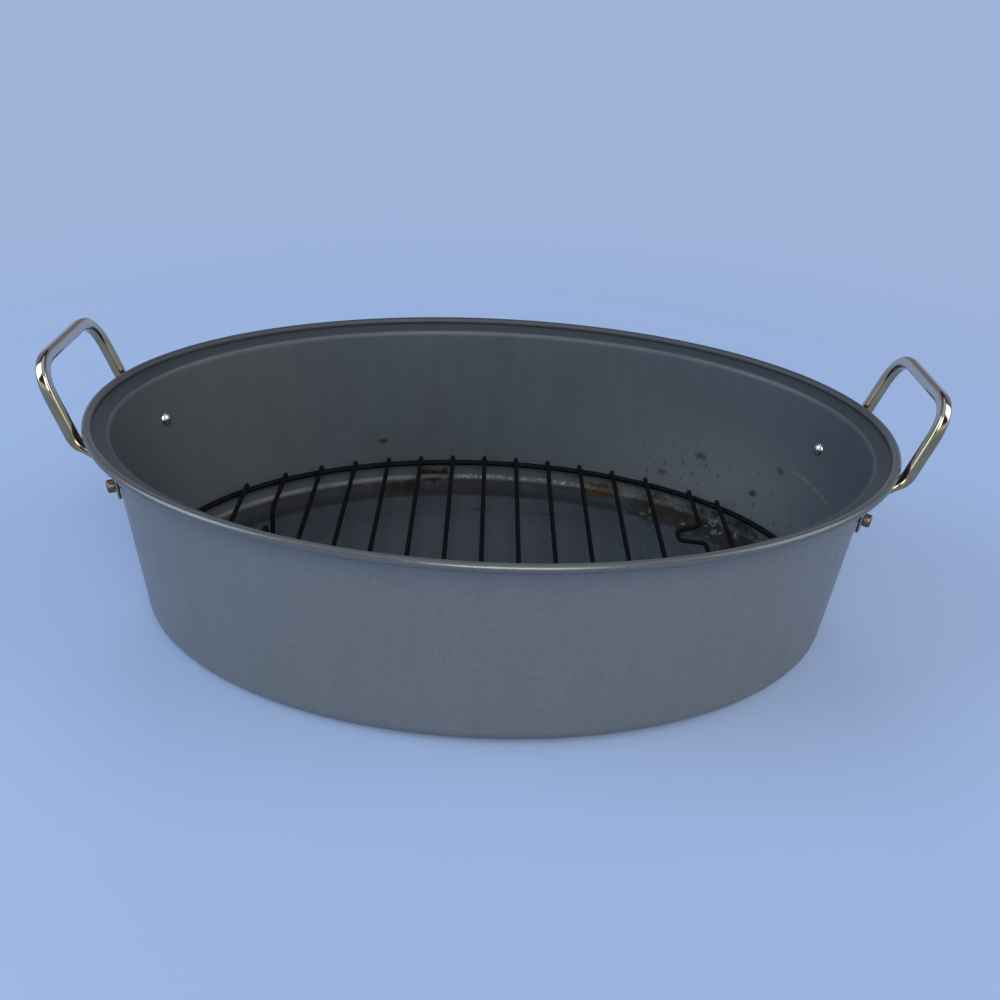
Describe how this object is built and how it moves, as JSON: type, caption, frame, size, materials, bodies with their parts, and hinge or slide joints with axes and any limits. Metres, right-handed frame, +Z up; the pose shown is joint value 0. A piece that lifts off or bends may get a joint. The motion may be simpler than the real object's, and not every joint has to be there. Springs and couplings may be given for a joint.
{
  "type": "oval roasting pan with wire rack",
  "caption": "Deep oval open roasting pan of coated sheet metal with a stepped rolled rim, riveted rod loop handles at both ends and a loose wire rack on bent-wire feet that lifts out.",
  "frame": {"origin": "on the resting plane under the middle of the oval", "axes": "+X along the pan from the left handle to the right one, +Y to the back, +Z up"},
  "size_m": [0.491, 0.33, 0.1576],
  "materials": {
    "coating": "satin grey non-stick coating, darker and slicker on the floor",
    "handle_steel": "polished steel with a faint heat tint near the knees",
    "rivet_metal": "satin heads inside, dulled and brownish knobs outside",
    "rack_wire": "black satin coating"
  },
  "bodies": {
    "pan": {"pan_body": "coating", "handle_left": "handle_steel", "handle_right": "handle_steel", "rivet_left_front": "rivet_metal", "rivet_left_back": "rivet_metal", "rivet_right_front": "rivet_metal", "rivet_right_back": "rivet_metal"},
    "rack": {"rack_ring": "rack_wire", "rack_bar_01": "rack_wire", "rack_bar_02": "rack_wire", "rack_bar_03": "rack_wire", "rack_bar_04": "rack_wire", "rack_bar_05": "rack_wire", "rack_bar_06": "rack_wire", "rack_bar_07": "rack_wire", "rack_bar_08": "rack_wire", "rack_bar_09": "rack_wire", "rack_bar_10": "rack_wire", "rack_bar_11": "rack_wire", "rack_bar_12": "rack_wire", "rack_bar_13": "rack_wire", "rack_bar_14": "rack_wire", "rack_bar_15": "rack_wire"}
  },
  "joints": [
    {"name": "rack_lift", "type": "slide", "parent": "pan", "child": "rack", "axis": [0, 0, 1], "range_m": [0, 0.165]}
  ]
}
